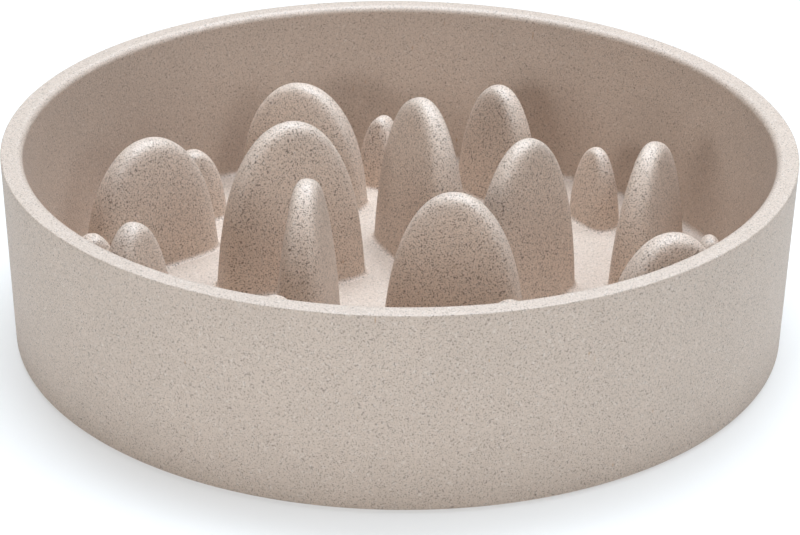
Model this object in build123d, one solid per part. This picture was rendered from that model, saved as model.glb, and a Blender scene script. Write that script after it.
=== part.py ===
from build123d import *
import math
import os
from typing import NamedTuple

# Slow feeder bowl, lengths in mm, turns in degrees, +Z up, the table at zero height.

# Overall sizes
RIM_RADIUS = 110.0
BODY_HEIGHT = 55.0
WALL_THICKNESS = 6.0
FLOOR_THICKNESS = 3.2

# Draft of the moulding, as the radius lost between the rim and the foot
OUTER_DRAFT = 1.2
INNER_DRAFT = 1.4

# Rounded edges of the body
RIM_OUTER_ROUND = 0.4
RIM_INNER_ROUND = 2.0
FLOOR_CORNER_ROUND = 2.0
FOOT_ROUND = 1.0

# Underside: a groove under the wall for the anti-slip ring, and a shallow recess inside it
GROOVE_WIDTH = 5.0
GROOVE_DEPTH = 1.6
GROOVE_EDGE = 3.0
RECESS_EDGE = 3.0
RECESS_DEPTH = 0.8

# Anti-slip ring: seated on the groove roof, standing out below the body
RING_STAND_OUT = 0.6
RING_SIDE_CLEARANCE = 0.1
RING_ROUND = 0.4

# Shape that all peaks share: how square the foot's plan is, how full the arch and the ridge along it are,
# how far the ends and the broad sides lean in by the top, as shares of the half length and half width,
# and how the lean of the broad sides grows on the way up
PEAK_SQUARENESS = 0.5
PEAK_ARCH_FULLNESS = 3.2
PEAK_RIDGE_FULLNESS = 34.0
PEAK_LENGTH_LEAN = 0.18
PEAK_WIDTH_LEAN = 0.60
PEAK_SIDE_CURVE = 1.5

# Grid that a peak's surface passes through: steps each way, crowding towards its edges, softening on top
GRID_STEPS = 28
GRID_CROWDING = 1.5
APEX_SOFTNESS = 0.05


class Peak(NamedTuple):
    """A rounded peak: foot centre, half length and half width as shares of the floor radius, height as
    a share of the depth under the rim, turn of its length."""
    x: float
    y: float
    half_length: float
    half_width: float
    height: float
    turn: float


PEAKS = {
    "peak_left_broad": Peak(-0.715, 0.270, 0.205, 0.085, 0.730, 38.0),
    "peak_left_back_small": Peak(-0.615, 0.560, 0.090, 0.070, 0.415, 33.0),
    "peak_left_small": Peak(-0.835, -0.095, 0.080, 0.070, 0.475, 29.0),
    "peak_left_front": Peak(-0.700, -0.305, 0.120, 0.080, 0.740, 61.0),
    "peak_back_left_broad": Peak(-0.295, 0.705, 0.205, 0.075, 0.730, -24.0),
    "peak_centre_left_broad": Peak(-0.305, 0.135, 0.215, 0.080, 0.955, 23.0),
    "peak_front_left_slim": Peak(-0.245, -0.250, 0.175, 0.080, 0.945, 83.0),
    "peak_front_left_low": Peak(-0.315, -0.545, 0.100, 0.085, 0.560, 0.0),
    "peak_back_small": Peak(-0.055, 0.825, 0.065, 0.070, 0.430, -30.0),
    "peak_centre_tall": Peak(0.065, 0.295, 0.205, 0.080, 0.970, 118.0),
    "peak_back_right": Peak(0.300, 0.740, 0.135, 0.075, 0.705, -47.0),
    "peak_front_centre_broad": Peak(0.150, -0.285, 0.195, 0.080, 0.915, -15.0),
    "peak_centre_right_tall": Peak(0.345, 0.030, 0.185, 0.075, 0.955, 45.0),
    "peak_front_right_low": Peak(0.285, -0.585, 0.105, 0.085, 0.590, 0.0),
    "peak_right_back_small": Peak(0.585, 0.550, 0.085, 0.050, 0.470, -57.0),
    "peak_right_tall": Peak(0.710, 0.190, 0.180, 0.075, 0.805, 66.0),
    "peak_right_front_broad": Peak(0.720, -0.295, 0.175, 0.085, 0.705, 18.0),
    "peak_right_small": Peak(0.855, -0.045, 0.060, 0.075, 0.460, 0.0),
}

# Heights and radii that follow from the sizes above
FOOT_Z = RING_STAND_OUT
RIM_Z = FOOT_Z + BODY_HEIGHT
FLOOR_Z = FOOT_Z + FLOOR_THICKNESS
GROOVE_ROOF_Z = FOOT_Z + GROOVE_DEPTH
FOOT_RADIUS = RIM_RADIUS - OUTER_DRAFT
RIM_INNER_RADIUS = RIM_RADIUS - WALL_THICKNESS
FLOOR_RADIUS = RIM_INNER_RADIUS - INNER_DRAFT
GROOVE_OUTER_RADIUS = FOOT_RADIUS - GROOVE_EDGE
GROOVE_INNER_RADIUS = GROOVE_OUTER_RADIUS - GROOVE_WIDTH
RECESS_RADIUS = GROOVE_INNER_RADIUS - RECESS_EDGE


def spun(section):
    """The full turn of a section drawn in the XZ plane."""
    return revolve(Plane.XZ * section, Axis.Z, 360)


def rounded_corner(section, point, radius):
    """The section with its corner nearest to the given point rounded."""
    corner = section.vertices().sort_by_distance(point)[0]
    return fillet(corner, radius)


def bowl_shell():
    """Wall and floor as one spun section, with the ring groove and the recess cut from below."""
    section = make_face(Polyline(
        (0, FOOT_Z + RECESS_DEPTH),
        (RECESS_RADIUS, FOOT_Z + RECESS_DEPTH),
        (RECESS_RADIUS, FOOT_Z),
        (GROOVE_INNER_RADIUS, FOOT_Z),
        (GROOVE_INNER_RADIUS, GROOVE_ROOF_Z),
        (GROOVE_OUTER_RADIUS, GROOVE_ROOF_Z),
        (GROOVE_OUTER_RADIUS, FOOT_Z),
        (FOOT_RADIUS, FOOT_Z),
        (RIM_RADIUS, RIM_Z),
        (RIM_INNER_RADIUS, RIM_Z),
        (FLOOR_RADIUS, FLOOR_Z),
        (0, FLOOR_Z),
        close=True,
    ))
    section = rounded_corner(section, (FOOT_RADIUS, FOOT_Z), FOOT_ROUND)
    section = rounded_corner(section, (RIM_RADIUS, RIM_Z), RIM_OUTER_ROUND)
    section = rounded_corner(section, (RIM_INNER_RADIUS, RIM_Z), RIM_INNER_ROUND)
    section = rounded_corner(section, (FLOOR_RADIUS, FLOOR_Z), FLOOR_CORNER_ROUND)
    return spun(section)


def anti_slip_ring():
    """Soft ring pushed up into the groove, its lower edges rounded, its underside on the table."""
    inner = GROOVE_INNER_RADIUS + RING_SIDE_CLEARANCE
    outer = GROOVE_OUTER_RADIUS - RING_SIDE_CLEARANCE
    section = make_face(Polyline(
        (inner, 0),
        (outer, 0),
        (outer, GROOVE_ROOF_Z),
        (inner, GROOVE_ROOF_Z),
        close=True,
    ))
    section = rounded_corner(section, (inner, 0), RING_ROUND)
    section = rounded_corner(section, (outer, 0), RING_ROUND)
    return spun(section)


def grid_place(step):
    """Place of a grid line between -1 and 1, closer together towards the edges."""
    share = 2 * step / GRID_STEPS - 1
    crowded = math.copysign(1 - (1 - abs(share)) ** GRID_CROWDING, share)
    return math.sin(crowded * math.pi / 2)


def peak_point(s, t, length, width, height):
    """Point of a peak over the square of s and t: the square drawn in to a disc, bulged at the diagonals so
    that the sides are flat, and lifted to an arch along its length, with a crowned wedge across it that ends
    in a rounded ridge."""
    u = s * math.sqrt(1 - t * t / 2)
    v = t * math.sqrt(1 - s * s / 2)
    diagonal = (2 * u * v / (u * u + v * v + APEX_SOFTNESS)) ** 2
    bulge = (1 - PEAK_SQUARENESS * diagonal) ** -0.25
    drop = 1 - max((1 - s * s) * (1 - t * t), 0)
    rise = (1 - drop) ** (1 / PEAK_ARCH_FULLNESS)
    limit = math.sqrt(PEAK_RIDGE_FULLNESS / PEAK_ARCH_FULLNESS)
    ridge = math.sqrt((1 - rise ** PEAK_RIDGE_FULLNESS) / drop) if drop > 0 else limit
    return Vector(
        length * u * bulge * (1 - PEAK_LENGTH_LEAN * rise),
        width * v * bulge * ridge * (1 - PEAK_WIDTH_LEAN * rise ** PEAK_SIDE_CURVE),
        height * rise,
    )


def peak(shape):
    """One smooth surface closed by a flat foot, turned and stood on the floor."""
    length = shape.half_length * FLOOR_RADIUS
    width = shape.half_width * FLOOR_RADIUS
    height = shape.height * (RIM_Z - FLOOR_Z)
    places = [grid_place(step) for step in range(GRID_STEPS + 1)]
    points = [[peak_point(s, t, length, width, height) for t in places] for s in places]
    top = Face.make_surface_from_array_of_points(points)
    foot = Face(Wire(top.edges()))
    dome = Solid(Shell([top, foot]))
    return Pos(shape.x * FLOOR_RADIUS, shape.y * FLOOR_RADIUS, FLOOR_Z) * Rot(Z=shape.turn) * dome


os.makedirs("parts", exist_ok=True)
export_step(bowl_shell(), "parts/bowl_shell.step")
export_step(anti_slip_ring(), "parts/anti_slip_ring.step")
for name, shape in PEAKS.items():
    export_step(peak(shape), f"parts/{name}.step")
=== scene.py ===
import math
from typing import NamedTuple

import bpy
import numpy as np
from mathutils import Matrix, Vector


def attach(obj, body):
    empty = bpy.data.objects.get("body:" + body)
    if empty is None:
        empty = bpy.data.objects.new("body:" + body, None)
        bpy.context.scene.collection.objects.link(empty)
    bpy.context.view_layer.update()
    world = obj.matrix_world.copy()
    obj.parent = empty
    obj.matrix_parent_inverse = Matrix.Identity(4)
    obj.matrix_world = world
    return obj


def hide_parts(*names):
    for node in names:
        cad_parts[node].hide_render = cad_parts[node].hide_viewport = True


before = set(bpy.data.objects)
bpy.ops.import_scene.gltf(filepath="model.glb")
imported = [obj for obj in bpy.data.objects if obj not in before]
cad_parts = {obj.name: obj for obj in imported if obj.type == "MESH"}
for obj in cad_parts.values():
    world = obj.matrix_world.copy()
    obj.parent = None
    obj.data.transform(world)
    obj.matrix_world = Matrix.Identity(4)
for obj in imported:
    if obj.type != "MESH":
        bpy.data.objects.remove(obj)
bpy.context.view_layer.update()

MM = 0.001

# Sizes of the moulding in millimetres, as in the part's source
RIM_RADIUS = 110.0
BODY_HEIGHT = 55.0
WALL_THICKNESS = 6.0
FLOOR_THICKNESS = 3.2
OUTER_DRAFT = 1.2
INNER_DRAFT = 1.4
RIM_OUTER_ROUND = 0.4
RIM_INNER_ROUND = 2.0
FLOOR_CORNER_ROUND = 2.0
FOOT_ROUND = 1.0
GROOVE_WIDTH = 5.0
GROOVE_DEPTH = 1.6
GROOVE_EDGE = 3.0
RECESS_EDGE = 3.0
RECESS_DEPTH = 0.8
RING_STAND_OUT = 0.6
RING_SIDE_CLEARANCE = 0.1
RING_ROUND = 0.4

# Small edge rounds in millimetres, which the part's source leaves out
PEAK_FOOT_ROUND = 1.4
RECESS_ROUND = 0.3
GROOVE_LIP_ROUND = 0.2

FOOT_Z = RING_STAND_OUT
RIM_Z = FOOT_Z + BODY_HEIGHT
FLOOR_Z = FOOT_Z + FLOOR_THICKNESS
GROOVE_ROOF_Z = FOOT_Z + GROOVE_DEPTH
RECESS_Z = FOOT_Z + RECESS_DEPTH
FOOT_RADIUS = RIM_RADIUS - OUTER_DRAFT
RIM_INNER_RADIUS = RIM_RADIUS - WALL_THICKNESS
FLOOR_RADIUS = RIM_INNER_RADIUS - INNER_DRAFT
GROOVE_OUTER_RADIUS = FOOT_RADIUS - GROOVE_EDGE
GROOVE_INNER_RADIUS = GROOVE_OUTER_RADIUS - GROOVE_WIDTH
RECESS_RADIUS = GROOVE_INNER_RADIUS - RECESS_EDGE

# Shape shared by all peaks, as in the part's source
PEAK_SQUARENESS = 0.5
PEAK_PLAN_ORDER = 4
PEAK_ARCH_FULLNESS = 3.2
PEAK_RIDGE_FULLNESS = 34.0
PEAK_LENGTH_LEAN = 0.18
PEAK_WIDTH_LEAN = 0.60
PEAK_SIDE_CURVE = 1.5
APEX_SOFTNESS = 0.05


class Peak(NamedTuple):
    """A rounded peak: foot centre, half length and half width as shares of the floor radius, height as
    a share of the depth under the rim, turn of its length in degrees."""
    x: float
    y: float
    half_length: float
    half_width: float
    height: float
    turn: float


PEAKS = {
    "peak_left_broad": Peak(-0.715, 0.270, 0.205, 0.085, 0.730, 38.0),
    "peak_left_back_small": Peak(-0.615, 0.560, 0.090, 0.070, 0.415, 33.0),
    "peak_left_small": Peak(-0.835, -0.095, 0.080, 0.070, 0.475, 29.0),
    "peak_left_front": Peak(-0.700, -0.305, 0.120, 0.080, 0.740, 61.0),
    "peak_back_left_broad": Peak(-0.295, 0.705, 0.205, 0.075, 0.730, -24.0),
    "peak_centre_left_broad": Peak(-0.305, 0.135, 0.215, 0.080, 0.955, 23.0),
    "peak_front_left_slim": Peak(-0.245, -0.250, 0.175, 0.080, 0.945, 83.0),
    "peak_front_left_low": Peak(-0.315, -0.545, 0.100, 0.085, 0.560, 0.0),
    "peak_back_small": Peak(-0.055, 0.825, 0.065, 0.070, 0.430, -30.0),
    "peak_centre_tall": Peak(0.065, 0.295, 0.205, 0.080, 0.970, 118.0),
    "peak_back_right": Peak(0.300, 0.740, 0.135, 0.075, 0.705, -47.0),
    "peak_front_centre_broad": Peak(0.150, -0.285, 0.195, 0.080, 0.915, -15.0),
    "peak_centre_right_tall": Peak(0.345, 0.030, 0.185, 0.075, 0.955, 45.0),
    "peak_front_right_low": Peak(0.285, -0.585, 0.105, 0.085, 0.590, 0.0),
    "peak_right_back_small": Peak(0.585, 0.550, 0.085, 0.050, 0.470, -57.0),
    "peak_right_tall": Peak(0.710, 0.190, 0.180, 0.075, 0.805, 66.0),
    "peak_right_front_broad": Peak(0.720, -0.295, 0.175, 0.085, 0.705, 18.0),
    "peak_right_small": Peak(0.855, -0.045, 0.060, 0.075, 0.460, 0.0),
}

# Body colour of the plastic and how strongly the husk shows in it. Wall and peaks are copies of one plastic:
# the peaks' lighter ground is painted light, and their stronger pepper is real husk speckle with painted
# shade of the grain added
WALL_GROUND = "#d3bdab"
WALL_PEPPER = 0.5
PEAK_GROUND_PAINTED_LIGHT = "#e3ccb9"
PEAK_PEPPER_WITH_PAINTED_SHADE = 0.85

# Turn of the grain patterns in radians, so that they follow no axis of the bowl
GRAIN_TURN = (0.4, 0.7, 0.3)

# Places of a mix node's two colours among its inputs, and of its colour among its outputs
MIX_A, MIX_B, MIX_RESULT = 6, 7, 2

# How finely the surfaces are divided
BOWL_SIDES = 320
PEAK_STEPS = 72
GRID_CROWDING = 1.5
PEAK_FOOT_RINGS = 6
ROUND_STEPS = 8

# Support points lie this many millimetres from the ends of a straight run, or at most this share of it
EDGE_SUPPORT = 0.25
EDGE_SUPPORT_SHARE = 0.3

# Radius in millimetres of the ring of points round the poles of the bowl's floor and underside
POLE_RING_RADIUS = 8.0

# Drop left at the very top of a peak, where the ridge would otherwise divide by nothing
APEX_DROP = 1e-6

# Studio: colours of the light, half side of the table in metres, share of bare white that the eye sees on
# the table, and the point in metres that the soft boxes face
COOL_LIGHT = (0.87, 1.0, 1.14)
FRONT_LIGHT = (0.95, 1.0, 1.05)
TABLE_HALF = 3.0
TABLE_WHITE = 0.5
LAMP_AIM = (0, 0, 0.03)


class SoftBox(NamedTuple):
    """A soft box: azimuth from the front round to the right and elevation in degrees, distance, width and
    height in metres, power in watts and colour."""
    azimuth: float
    elevation: float
    distance: float
    width: float
    height: float
    power: float
    colour: tuple


SOFT_BOXES = {
    "overhead": SoftBox(0, 90, 1.2, 0.5, 0.5, 5.2, COOL_LIGHT),
    "overhead_back": SoftBox(180, 75, 1.2, 0.8, 0.5, 14.0, COOL_LIGHT),
    "right": SoftBox(90, 55, 1.2, 0.8, 0.6, 4.6, COOL_LIGHT),
    "front_left": SoftBox(-33, 16, 1.3, 0.45, 0.35, 4.7, FRONT_LIGHT),
    "front_right": SoftBox(42, 20, 1.3, 0.45, 0.35, 1.9, FRONT_LIGHT),
}

# Camera: focal length and sensor in millimetres, near limit and place in metres, angles in degrees
CAMERA_LENS = 107.55
CAMERA_SENSOR = 36.0
CAMERA_NEAR = 0.01
CAMERA_PLACE = (0.0004, -0.6133, 0.3150)
CAMERA_LOOKS_DOWN = 26.104
CAMERA_ROLL = 0.653


def mesh_piece(name, points, faces, material, node):
    """A smooth-shaded piece from points in millimetres, which stands for one node and rides on the body."""
    mesh = bpy.data.meshes.new(name)
    mesh.from_pydata((points * MM).tolist(), [], faces)
    mesh.polygons.foreach_set("use_smooth", np.ones(len(mesh.polygons), bool))
    mesh.materials.append(material)
    piece = bpy.data.objects.new(name, mesh)
    bpy.context.scene.collection.objects.link(piece)
    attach(piece, "root")
    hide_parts(node)
    return mesh


def quads(index):
    """The four-sided faces between neighbouring rows and columns of a table of point numbers."""
    corners = (index[:-1, :-1], index[:-1, 1:], index[1:, 1:], index[1:, :-1])
    return np.stack(corners, axis=-1).reshape(-1, 4).tolist()


def fan(ring, pole):
    """The triangles from a closed ring of point numbers to one pole."""
    return np.stack((ring, np.roll(ring, -1), np.full(len(ring), pole)), axis=-1).tolist()


def closed(index):
    """A table of point numbers with its first column again at the end."""
    return np.concatenate((index, index[:, :1]), axis=1)


def rounded_outline(corners, loop):
    """Outline through (radius, height, round) corners: each round corner becomes the circular arc that
    touches both of its sides, and each straight run gets a support point next to either end."""
    places = np.array(corners, float)
    count = len(places)
    arcs = []
    for index, (radius, height, rounding) in enumerate(places):
        point = np.array((radius, height))
        if rounding == 0:
            arcs.append(point[None])
            continue
        before = places[index - 1, :2] - point
        after = places[(index + 1) % count, :2] - point
        before, after = before / np.linalg.norm(before), after / np.linalg.norm(after)
        half = math.acos(before @ after) / 2
        middle = (before + after) / np.linalg.norm(before + after)
        centre = point + middle * rounding / math.sin(half)
        start = point + before * rounding / math.tan(half) - centre
        stop = point + after * rounding / math.tan(half) - centre
        sweep = math.pi - 2 * half
        share = np.linspace(0, 1, ROUND_STEPS + 1)[:, None]
        turned = start * np.sin((1 - share) * sweep) + stop * np.sin(share * sweep)
        arcs.append(centre + turned / math.sin(sweep))
    outline = []
    for index, arc in enumerate(arcs):
        outline.append(arc)
        if index + 1 < count or loop:
            start, stop = arc[-1], arcs[(index + 1) % count][0]
            inset = min(EDGE_SUPPORT / np.linalg.norm(stop - start), EDGE_SUPPORT_SHARE)
            outline.append(start + (stop - start) * np.array([[inset], [1 - inset]]))
    return np.concatenate(outline)


def spun_points(outline):
    """Every outline point carried round the axis: (r cos a, r sin a, z) over outline and angle."""
    angle = np.linspace(0, 2 * math.pi, BOWL_SIDES, endpoint=False)
    radius, height = outline[:, :1], outline[:, 1:]
    x, y = radius * np.cos(angle), radius * np.sin(angle)
    return np.stack((x, y, np.broadcast_to(height, x.shape)), axis=-1).reshape(-1, 3)


def bowl_shell(material):
    """Wall and floor: the section's outline from the middle of the underside out, up the wall, over the rim
    and down to the middle of the floor, spun round the axis, with a pole at either end."""
    outline = rounded_outline((
        (POLE_RING_RADIUS, RECESS_Z, 0),
        (RECESS_RADIUS, RECESS_Z, RECESS_ROUND),
        (RECESS_RADIUS, FOOT_Z, RECESS_ROUND),
        (GROOVE_INNER_RADIUS, FOOT_Z, GROOVE_LIP_ROUND),
        (GROOVE_INNER_RADIUS, GROOVE_ROOF_Z, 0),
        (GROOVE_OUTER_RADIUS, GROOVE_ROOF_Z, 0),
        (GROOVE_OUTER_RADIUS, FOOT_Z, GROOVE_LIP_ROUND),
        (FOOT_RADIUS, FOOT_Z, FOOT_ROUND),
        (RIM_RADIUS, RIM_Z, RIM_OUTER_ROUND),
        (RIM_INNER_RADIUS, RIM_Z, RIM_INNER_ROUND),
        (FLOOR_RADIUS, FLOOR_Z, FLOOR_CORNER_ROUND),
        (POLE_RING_RADIUS, FLOOR_Z, 0),
    ), loop=False)
    points = np.concatenate((spun_points(outline), [(0, 0, RECESS_Z), (0, 0, FLOOR_Z)]))
    index = np.arange(len(outline) * BOWL_SIDES).reshape(-1, BOWL_SIDES)
    faces = quads(closed(index)) + fan(index[0, ::-1], index.size) + fan(index[-1], index.size + 1)
    mesh_piece("bowl", points, faces, material, "bowl_shell")


def anti_slip_ring(material):
    """Soft ring: a bar section with rounded lower edges, spun round the axis."""
    inner = GROOVE_INNER_RADIUS + RING_SIDE_CLEARANCE
    outer = GROOVE_OUTER_RADIUS - RING_SIDE_CLEARANCE
    outline = rounded_outline((
        (inner, 0, RING_ROUND),
        (outer, 0, RING_ROUND),
        (outer, GROOVE_ROOF_Z, 0),
        (inner, GROOVE_ROOF_Z, 0),
    ), loop=True)
    index = np.arange(len(outline) * BOWL_SIDES).reshape(-1, BOWL_SIDES)
    faces = quads(closed(np.concatenate((index, index[:1]))))
    mesh_piece("grip_ring", spun_points(outline), faces, material, "anti_slip_ring")


def unit_peak():
    """Peak of half sizes and height 1 over a square grid (s, t), both from -1 to 1 and closer together at
    the edges. The grid is drawn in to a disc, s sqrt(1 - t2/2) and t sqrt(1 - s2/2), which bulges at its
    diagonals into a superellipse, so that the sides are flat. The height is a root of (1 - s2)(1 - t2), an
    arch along the length. Across it the sides lean in, more and more towards the top, where they widen
    into a rounded ridge."""
    step = np.linspace(-1, 1, PEAK_STEPS + 1)
    side = np.sin(np.sign(step) * (1 - (1 - np.abs(step)) ** GRID_CROWDING) * math.pi / 2)
    s, t = np.meshgrid(side, side)
    u, v = s * np.sqrt(1 - t ** 2 / 2), t * np.sqrt(1 - s ** 2 / 2)
    diagonal = (2 * u * v / (u ** 2 + v ** 2 + APEX_SOFTNESS)) ** 2
    bulge = (1 - PEAK_SQUARENESS * diagonal) ** (-1 / PEAK_PLAN_ORDER)
    drop = 1 - ((1 - s ** 2) * (1 - t ** 2)).clip(0, 1 - APEX_DROP)
    height = (1 - drop) ** (1 / PEAK_ARCH_FULLNESS)
    ridge = np.sqrt((1 - height ** PEAK_RIDGE_FULLNESS) / drop)
    along = u * bulge * (1 - PEAK_LENGTH_LEAN * height)
    across = v * bulge * ridge * (1 - PEAK_WIDTH_LEAN * height ** PEAK_SIDE_CURVE)
    return along, across, height


def peak(node, shape, material):
    """One peak: the unit peak at its own sizes, over a foot whose rings widen by a quarter circle into the
    floor. The edge between foot and floor stays sharp in the shading."""
    along, across, height = unit_peak()
    along = along * shape.half_length * FLOOR_RADIUS
    across = across * shape.half_width * FLOOR_RADIUS
    top = shape.height * (RIM_Z - FLOOR_Z)
    rise = PEAK_FOOT_ROUND + height * (top - PEAK_FOOT_ROUND)
    dome = np.stack((along, across, rise), axis=-1).reshape(-1, 3)
    index = np.arange(len(dome)).reshape(along.shape)
    edge = np.concatenate((index[0, :-1], index[:-1, -1], index[-1, :0:-1], index[:0:-1, 0]))
    rim = dome[edge, :2]
    run = np.roll(rim, -1, axis=0) - np.roll(rim, 1, axis=0)
    outward = np.stack((run[:, 1], -run[:, 0]), axis=-1) / np.linalg.norm(run, axis=1, keepdims=True)
    bend = np.linspace(0, math.pi / 2, PEAK_FOOT_RINGS + 1)[:-1, None, None]
    spread = rim + outward * PEAK_FOOT_ROUND * (1 - np.sin(bend))
    level = np.broadcast_to(PEAK_FOOT_ROUND * (1 - np.cos(bend)), (*spread.shape[:2], 1))
    rings = np.concatenate((spread, level), axis=-1).reshape(-1, 3)
    ring_index = len(dome) + np.arange(len(rings)).reshape(PEAK_FOOT_RINGS, -1)
    points = np.concatenate((dome, rings, [(0, 0, 0)]))
    faces = quads(index) + quads(closed(np.concatenate((ring_index, edge[None]))))
    faces += fan(ring_index[0, ::-1], len(points) - 1)
    place = Matrix.Translation((shape.x * FLOOR_RADIUS, shape.y * FLOOR_RADIUS, FLOOR_Z))
    turned = np.array(place @ Matrix.Rotation(math.radians(shape.turn), 4, "Z"))
    points = points @ turned[:3, :3].T + turned[:3, 3]
    mesh = mesh_piece(node.replace("peak_", "peak."), points, faces, material, node)
    ends = np.empty(len(mesh.edges) * 2, int)
    mesh.edges.foreach_get("vertices", ends)
    on_foot = np.isin(ends.reshape(-1, 2), ring_index[0]).all(axis=1)
    mesh.edges.foreach_set("use_edge_sharp", on_foot)


def linear(hex_colour):
    """sRGB hex text to linear red, green, blue and alpha."""
    encoded = np.array([int(hex_colour[i:i + 2], 16) for i in (1, 3, 5)]) / 255
    values = np.where(encoded <= 0.04045, encoded / 12.92, ((encoded + 0.055) / 1.055) ** 2.4)
    return (*values.tolist(), 1.0)


def add_node(tree, kind, inputs=None, **settings):
    """One shader node with its settings; an input is a value, or the output socket that feeds it."""
    node = tree.nodes.new(kind)
    for key, value in settings.items():
        setattr(node, key, value)
    for key, value in (inputs or {}).items():
        if isinstance(value, bpy.types.NodeSocket):
            tree.links.new(value, node.inputs[key])
        else:
            node.inputs[key].default_value = value
    return node


def new_material(name):
    """An empty node material and its node tree."""
    material = bpy.data.materials.new(name)
    material.use_nodes = True
    material.node_tree.nodes.clear()
    return material, material.node_tree


def per_metre(size_mm):
    """Texture scale that gives a pattern of the stated size in millimetres."""
    return 1 / (size_mm * MM)


def cloud(tree, place, size, low, high, soft=(0.3, 0.7), detail=2.0):
    """Noise of the given size in millimetres, whose soft range is spread between two values."""
    noise = add_node(tree, "ShaderNodeTexNoise", {
        "Vector": place, "Scale": per_metre(size), "Detail": detail, "Roughness": 0.6})
    spread = add_node(tree, "ShaderNodeMapRange", {
        "Value": noise.outputs["Fac"], "From Min": soft[0], "From Max": soft[1],
        "To Min": low, "To Max": high})
    return spread.outputs["Result"]


def grains(tree, place, base, colour, share, size, soft, detail=3.0, shift=0.0, stretch=1.0):
    """The base colour with one sort of grain mixed in, up to a share: noise of the given size in
    millimetres, shifted so that no two sorts share their places, and drawn out into strands by a stretch."""
    moved = add_node(tree, "ShaderNodeMapping", {
        "Vector": place, "Location": (shift * MM, shift * MM, shift * MM), "Rotation": GRAIN_TURN,
        "Scale": (1.0, 1.0, 1 / stretch)})
    mask = cloud(tree, moved.outputs["Vector"], size, 0.0, share, soft, detail)
    mix = add_node(tree, "ShaderNodeMix", {
        "Factor": mask, MIX_A: base, MIX_B: linear(colour)}, data_type="RGBA")
    return mix.outputs[MIX_RESULT]


def moulded_fibre_plastic(name, ground, pepper):
    """Matte plastic filled with ground plant husk: a warm grey body, clouded, and peppered with brown dust,
    dark dots, a few pale grains and tan fibres, under a broad soft gloss that a grainy skin breaks up. The
    husk dust is really finer; it is drawn at about a third of a millimetre, as coarse as it needs to show.
    The ground is the body colour, which on the peaks is lightened as painted light, and more pepper brings
    the dust and the dots out more strongly, on the peaks with painted shade of the grain as well."""
    material, tree = new_material(name)
    place = add_node(tree, "ShaderNodeTexCoord").outputs["Object"]
    dust = 0.8 * pepper
    dots = 0.9 * pepper
    body = linear(ground)
    body = grains(tree, place, body, "#8c7058", dust, size=0.36, soft=(0.48, 0.74), detail=1.0, shift=3)
    body = grains(tree, place, body, "#b9a695", share=0.2, size=15.0, soft=(0.3, 0.7), shift=5)
    body = grains(tree, place, body, "#f0e6dc", share=0.35, size=0.8, soft=(0.56, 0.70), shift=31)
    body = grains(tree, place, body, "#664c37", dots, size=0.34, soft=(0.63, 0.68), detail=0.0, shift=57)
    body = grains(tree, place, body, "#4a3727", dots, size=0.6, soft=(0.72, 0.75), detail=0.0, shift=83)
    body = grains(tree, place, body, "#b98d63", share=0.6, size=1.6, soft=(0.73, 0.78), detail=2.0,
                  shift=11, stretch=3.3)
    skin = add_node(tree, "ShaderNodeBump", {
        "Height": cloud(tree, place, size=0.6, low=0.0, high=1.0), "Distance": 0.10 * MM, "Strength": 0.6})
    shader = add_node(tree, "ShaderNodeBsdfPrincipled", {
        "Base Color": body, "Roughness": cloud(tree, place, size=2.5, low=0.55, high=0.65), "IOR": 1.5,
        "Specular IOR Level": 1.0, "Normal": skin.outputs["Normal"]})
    add_node(tree, "ShaderNodeOutputMaterial", {"Surface": shader.outputs["BSDF"]})
    return material


def silicone_rubber():
    """Soft silicone: dull dark grey with a dusty bloom and a fine matte skin."""
    material, tree = new_material("moulded_silicone_rubber")
    place = add_node(tree, "ShaderNodeTexCoord").outputs["Object"]
    body = grains(tree, place, linear("#47423e"), "#5a544f", share=0.5, size=6.0, soft=(0.3, 0.7))
    skin = add_node(tree, "ShaderNodeBump", {
        "Height": cloud(tree, place, size=0.5, low=0.0, high=1.0), "Distance": 0.03 * MM, "Strength": 0.5})
    shader = add_node(tree, "ShaderNodeBsdfPrincipled", {
        "Base Color": body, "Roughness": cloud(tree, place, size=4.0, low=0.5, high=0.65), "IOR": 1.42,
        "Normal": skin.outputs["Normal"]})
    add_node(tree, "ShaderNodeOutputMaterial", {"Surface": shader.outputs["BSDF"]})
    return material


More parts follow.
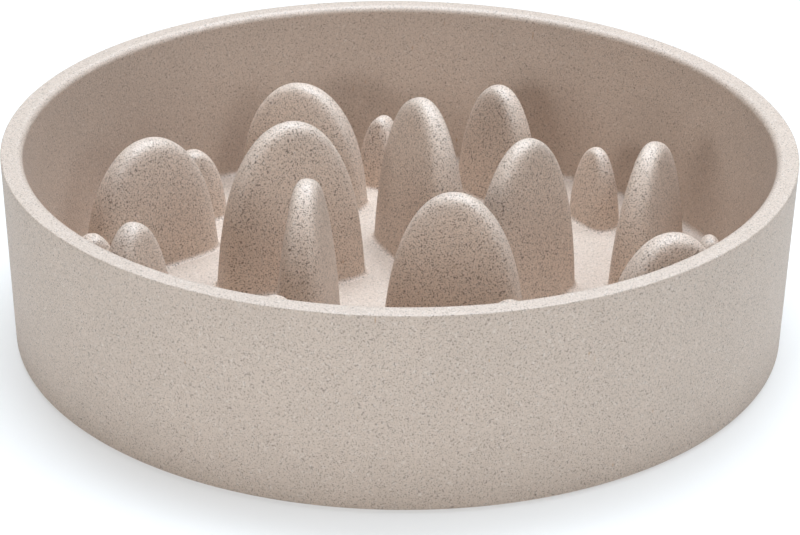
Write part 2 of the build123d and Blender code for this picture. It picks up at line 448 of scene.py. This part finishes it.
def studio_table():
    """Plain white table; the eye sees it partly as bare white, so only the contact shadow stays on it."""
    material, tree = new_material("white_table")
    paper = add_node(tree, "ShaderNodeBsdfDiffuse", {"Color": linear("#fbf9f5")})
    glow = add_node(tree, "ShaderNodeEmission", {"Color": linear("#ffffff"), "Strength": 1.0})
    ray = add_node(tree, "ShaderNodeLightPath")
    seen = ray.outputs["Is Camera Ray"]
    for other in ("Is Glossy Ray", "Is Transmission Ray"):
        both = add_node(tree, "ShaderNodeMath", {0: seen, 1: ray.outputs[other]}, operation="ADD")
        seen = both.outputs["Value"]
    share = add_node(tree, "ShaderNodeMath", {0: seen, 1: TABLE_WHITE}, operation="MULTIPLY")
    mix = add_node(tree, "ShaderNodeMixShader", {
        "Fac": share.outputs["Value"], 1: paper.outputs["BSDF"], 2: glow.outputs["Emission"]})
    add_node(tree, "ShaderNodeOutputMaterial", {"Surface": mix.outputs["Shader"]})
    half = TABLE_HALF
    corners = [(-half, -half, 0), (half, -half, 0), (half, half, 0), (-half, half, 0)]
    mesh = bpy.data.meshes.new("table")
    mesh.from_pydata(corners, [], [(0, 1, 2, 3)])
    mesh.materials.append(material)
    table = bpy.data.objects.new("table", mesh)
    bpy.context.scene.collection.objects.link(table)


def softbox(name, box):
    """Area lamp that faces the bowl from the soft box's azimuth, elevation and distance."""
    lamp = bpy.data.lights.new(name, "AREA")
    lamp.shape = "RECTANGLE"
    lamp.size, lamp.size_y, lamp.energy = box.width, box.height, box.power
    lamp.color = box.colour
    holder = bpy.data.objects.new(name, lamp)
    side, lift = math.radians(box.azimuth), math.radians(box.elevation)
    direction = Vector((math.sin(side) * math.cos(lift), -math.cos(side) * math.cos(lift), math.sin(lift)))
    holder.location = Vector(LAMP_AIM) + direction * box.distance
    holder.rotation_euler = direction.to_track_quat("Z", "Y").to_euler()
    bpy.context.scene.collection.objects.link(holder)


def studio():
    """Soft boxes overhead, behind, to the right and low in front, in an otherwise dark room."""
    for name, box in SOFT_BOXES.items():
        softbox(name, box)
    world = bpy.data.worlds.new("studio")
    world.use_nodes = True
    world.node_tree.nodes["Background"].inputs["Strength"].default_value = 0.0
    bpy.context.scene.world = world


def camera():
    """Camera in front, looking down on the bowl."""
    lens = bpy.data.cameras.new("camera")
    lens.lens = CAMERA_LENS
    lens.sensor_width = CAMERA_SENSOR
    lens.clip_start = CAMERA_NEAR
    eye = bpy.data.objects.new("camera", lens)
    tilt = Matrix.Rotation(math.radians(90 - CAMERA_LOOKS_DOWN), 4, "X")
    roll = Matrix.Rotation(math.radians(CAMERA_ROLL), 4, "Z")
    eye.matrix_world = Matrix.Translation(CAMERA_PLACE) @ tilt @ roll
    bpy.context.scene.collection.objects.link(eye)
    bpy.context.scene.camera = eye


bowl_shell(moulded_fibre_plastic("moulded_plant_fibre_plastic", WALL_GROUND, WALL_PEPPER))
anti_slip_ring(silicone_rubber())
# Peaks: a lighter, more peppered copy of the same plastic; the lighter ground is painted light and the extra
# pepper is painted shade in the grain
peak_plastic_painted_light = moulded_fibre_plastic("moulded_plant_fibre_plastic_peaks_painted_light", PEAK_GROUND_PAINTED_LIGHT, PEAK_PEPPER_WITH_PAINTED_SHADE)
for node, shape in PEAKS.items():
    peak(node, shape, peak_plastic_painted_light)
studio_table()
studio()
camera()
bpy.context.scene.view_settings.view_transform = "Standard"
